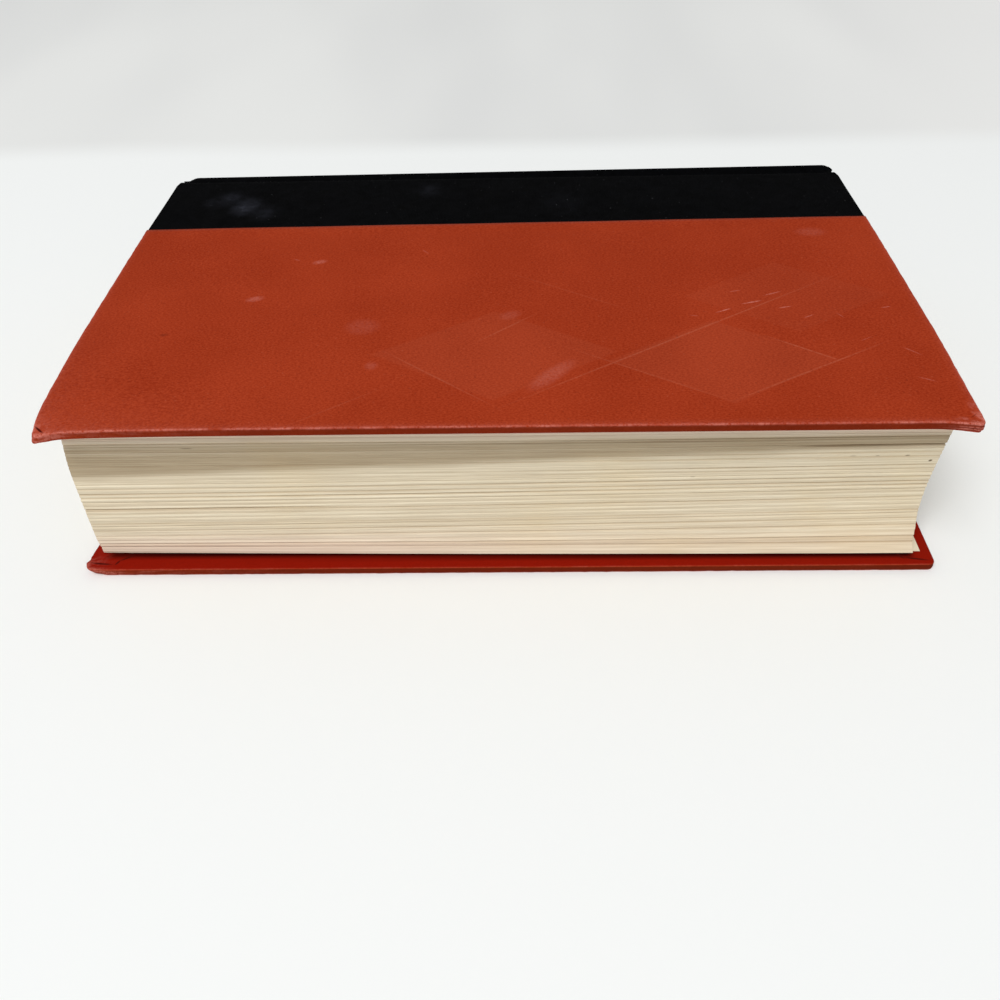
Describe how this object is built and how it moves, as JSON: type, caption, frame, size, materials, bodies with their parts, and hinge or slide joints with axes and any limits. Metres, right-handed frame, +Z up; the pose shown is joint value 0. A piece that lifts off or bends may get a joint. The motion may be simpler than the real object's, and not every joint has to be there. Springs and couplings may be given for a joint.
{
  "type": "hardback book",
  "caption": "Thick quarter-bound hardback book with red paper sides, a black cloth spine and cream leaves; both covers open on the folds of their joints.",
  "frame": {"origin": "bottom centre of the closed book's box, on the table under its back cover", "axes": "+X along the book's height, +Y from the fore-edge to the spine, +Z up through the closed covers"},
  "size_m": [0.241, 0.1636, 0.0528],
  "materials": {
    "side_paper": "matt dyed paper, rubbed at the edges",
    "book_cloth": "starched black book cloth, fine weave",
    "greyboard": "raw grey board",
    "endpaper": "uncoated cream paper",
    "leaf_edges": "trimmed leaf edges, aged cream",
    "mull": "open-weave starched gauze",
    "lining_paper": "brown lining paper",
    "spine_card": "thin manila card",
    "headband": "striped woven band"
  },
  "bodies": {
    "book_block": {"text_block": "leaf_edges", "front_flyleaf": "endpaper", "back_flyleaf": "endpaper", "spine_mull": "mull", "spine_lining": "lining_paper", "spine_inlay": "spine_card", "head_band": "headband", "tail_band": "headband", "spine_cloth": "book_cloth"},
    "back_cover": {"back_cover_paper": "side_paper", "back_cloth": "book_cloth", "back_board": "greyboard", "back_mull_flap": "mull", "back_pastedown": "endpaper"},
    "front_cover": {"front_cover_paper": "side_paper", "front_cloth": "book_cloth", "front_board": "greyboard", "front_mull_flap": "mull", "front_pastedown": "endpaper"}
  },
  "joints": [
    {"name": "front_cover_hinge", "type": "hinge", "parent": "book_block", "child": "front_cover", "pos_m": [0, 0.07412, 0.0518], "axis": [-1, 0, 0], "range_deg": [0, 180]},
    {"name": "back_cover_hinge", "type": "hinge", "parent": "book_block", "child": "back_cover", "pos_m": [0, 0.07412, 0.001], "axis": [1, 0, 0], "range_deg": [0, 180]}
  ]
}
